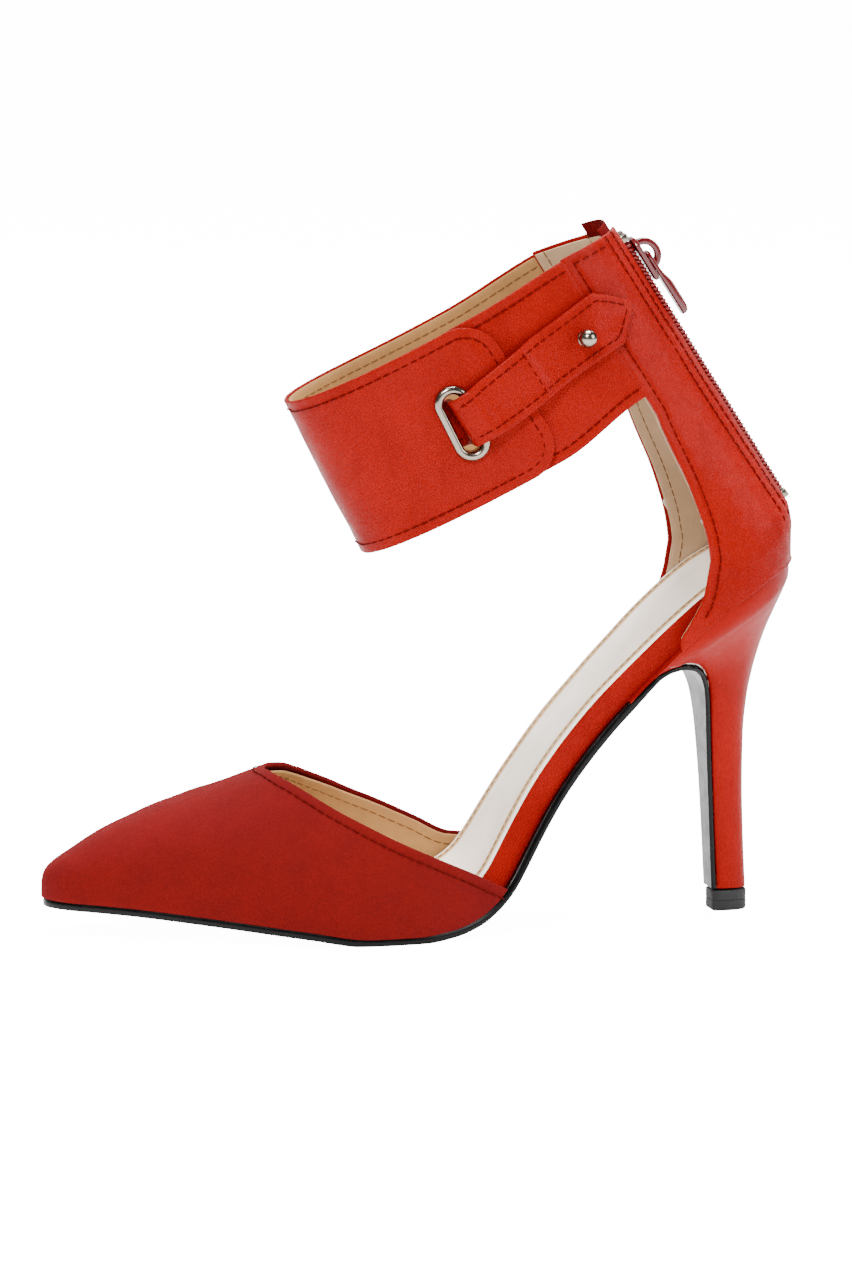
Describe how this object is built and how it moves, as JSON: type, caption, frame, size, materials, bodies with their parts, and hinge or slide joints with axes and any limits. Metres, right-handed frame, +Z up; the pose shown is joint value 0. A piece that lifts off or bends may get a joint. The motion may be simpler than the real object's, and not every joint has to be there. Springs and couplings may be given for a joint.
{
  "type": "high heel pump",
  "caption": "Pointed-toe stiletto pump with a suede vamp, leather quarters, a wide ankle cuff with a studded strap through an eyelet, and a back zip.",
  "frame": {"origin": "centre of the shoe's bounding box in plan, on the ground it stands on", "axes": "+X from toe to heel, +Y from the outer (lateral) side to the inner (medial) side, +Z up"},
  "size_m": [0.218, 0.0734, 0.1993],
  "materials": {
    "red_suede": "matt suede with a short nap",
    "red_leather": "smooth semi-matt leather",
    "tan_lining": "matt pigskin-type lining",
    "beige_lining": "matt lining",
    "sock_leather": "soft sheen",
    "sole": "glossy black resin unit",
    "top_rubber": "matt black",
    "heel_plastic": "moulded ABS",
    "board": "pressed fibre board",
    "foam": "latex foam",
    "stiffener": "resin-stiffened sheet",
    "steel": "plain steel",
    "nickel": "polished nickel plate",
    "zip_tape": "woven polyester tape",
    "zip_nylon": "nylon coil",
    "red_lacquer": "glossy crimson lacquer"
  },
  "bodies": {
    "shoe": {"outsole": "sole", "forepart_filler": "foam", "steel_shank": "steel", "insole_board": "board", "insole_cushion": "foam", "insole_wrap": "red_leather", "sock_lining": "sock_leather", "heel_block": "heel_plastic", "heel_cover": "red_leather", "heel_dowel": "steel", "top_piece": "top_rubber", "top_piece_pin": "steel", "heel_screw": "steel", "heel_nail_1": "steel", "heel_nail_2": "steel", "heel_nail_3": "steel", "heel_nail_4": "steel", "vamp": "red_suede", "toe_puff": "stiffener", "vamp_lining": "tan_lining", "quarter_lateral": "red_leather", "quarter_medial": "red_leather", "quarter_lining_lateral": "beige_lining", "quarter_lining_medial": "beige_lining", "heel_counter": "stiffener", "cuff_band": "red_leather", "cuff_lining": "tan_lining", "cuff_underlay": "red_leather", "underlay_lining": "tan_lining", "pull_strap": "red_leather", "eyelet": "nickel", "eyelet_washer": "nickel", "stud": "nickel", "stud_base": "nickel", "zip_tape_lateral": "zip_tape", "zip_coil_lateral": "zip_nylon", "zip_top_stop_lateral": "nickel", "zip_tape_medial": "zip_tape", "zip_coil_medial": "zip_nylon", "zip_top_stop_medial": "nickel", "zip_bottom_stop": "nickel"},
    "slider": {"zip_slider": "red_lacquer"},
    "pull": {"zip_pull": "red_lacquer"}
  },
  "joints": [
    {"name": "zip_slide", "type": "slide", "parent": "shoe", "child": "slider", "axis": [0.5373, 0, -0.8434], "range_m": [0, 0.0715]},
    {"name": "pull_swing", "type": "hinge", "parent": "slider", "child": "pull", "pos_m": [0.06686, 0.0005, 0.19114], "axis": [0, -1, 0], "range_deg": [0, 150]}
  ]
}
